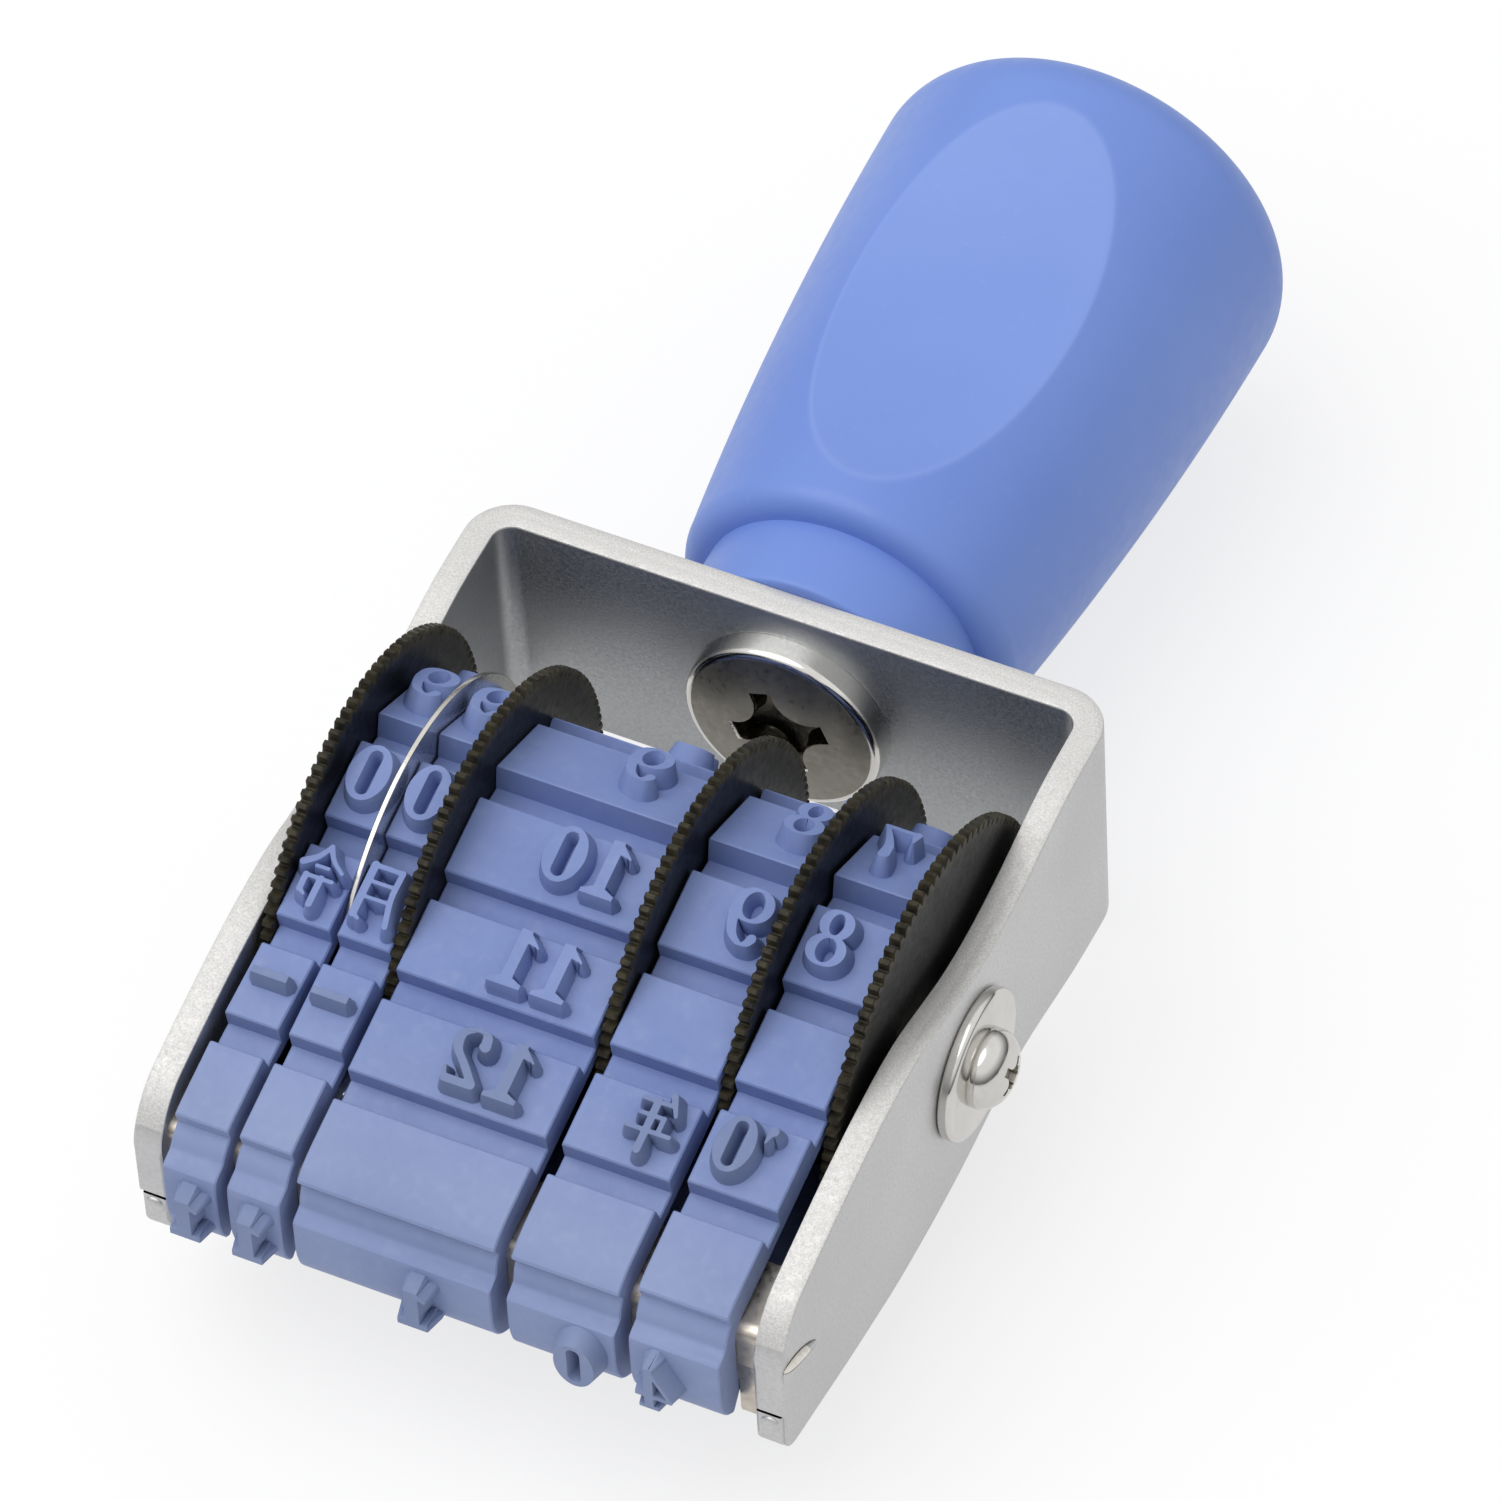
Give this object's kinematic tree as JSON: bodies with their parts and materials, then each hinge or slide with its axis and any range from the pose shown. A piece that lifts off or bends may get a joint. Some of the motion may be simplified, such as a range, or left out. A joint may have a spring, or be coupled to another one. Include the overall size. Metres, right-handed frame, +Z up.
{
  "type": "date stamp",
  "caption": "Hand date stamp lying on its back: rubber date bands on toothed setting wheels in a bent metal frame, with a waisted plastic handle.",
  "frame": {"origin": "centre of the bounding box's underside, on the table the stamp lies on", "axes": "+X along the wheel axle to the right, +Y from the print face to the handle's end, +Z up out of the frame's open front"},
  "size_m": [0.0456, 0.0916, 0.0276],
  "materials": {
    "plate": "satin plated, fine grain",
    "nickel": "polished nickel",
    "steel": "bright",
    "insert": "turned",
    "grip": "satin moulded",
    "wheel": "dull, dusty teeth",
    "rubber": "matt"
  },
  "bodies": {
    "stamp": {"frame": "plate", "bridge": "nickel", "handle": "grip", "handle_insert": "insert", "handle_screw": "nickel", "axle": "steel", "axle_screw_left": "nickel", "axle_screw_right": "nickel", "washer_left": "nickel", "washer_right": "nickel", "ring_left": "steel", "ring_right": "steel", "day_units_band": "rubber", "day_tens_band": "rubber", "month_band": "rubber", "year_units_band": "rubber", "year_tens_band": "rubber"},
    "day_units_setting": {"day_units_wheel": "wheel"},
    "day_tens_setting": {"day_tens_wheel": "wheel"},
    "month_setting": {"month_wheel": "wheel"},
    "year_units_setting": {"year_units_wheel": "wheel"},
    "year_tens_setting": {"year_tens_wheel": "wheel"},
    "separator": {"separator_disc": "steel"}
  },
  "joints": [
    {"name": "day_units_turn", "type": "hinge", "parent": "stamp", "child": "day_units_setting", "pos_m": [0, -0.01843, 0.0138], "axis": [1, 0, 0], "continuous": true},
    {"name": "day_tens_turn", "type": "hinge", "parent": "stamp", "child": "day_tens_setting", "pos_m": [0, -0.01843, 0.0138], "axis": [1, 0, 0], "continuous": true},
    {"name": "month_turn", "type": "hinge", "parent": "stamp", "child": "month_setting", "pos_m": [0, -0.01843, 0.0138], "axis": [1, 0, 0], "continuous": true},
    {"name": "year_units_turn", "type": "hinge", "parent": "stamp", "child": "year_units_setting", "pos_m": [0, -0.01843, 0.0138], "axis": [1, 0, 0], "continuous": true},
    {"name": "year_tens_turn", "type": "hinge", "parent": "stamp", "child": "year_tens_setting", "pos_m": [0, -0.01843, 0.0138], "axis": [1, 0, 0], "continuous": true},
    {"name": "separator_turn", "type": "hinge", "parent": "stamp", "child": "separator", "pos_m": [0, -0.01843, 0.0138], "axis": [1, 0, 0], "continuous": true}
  ]
}
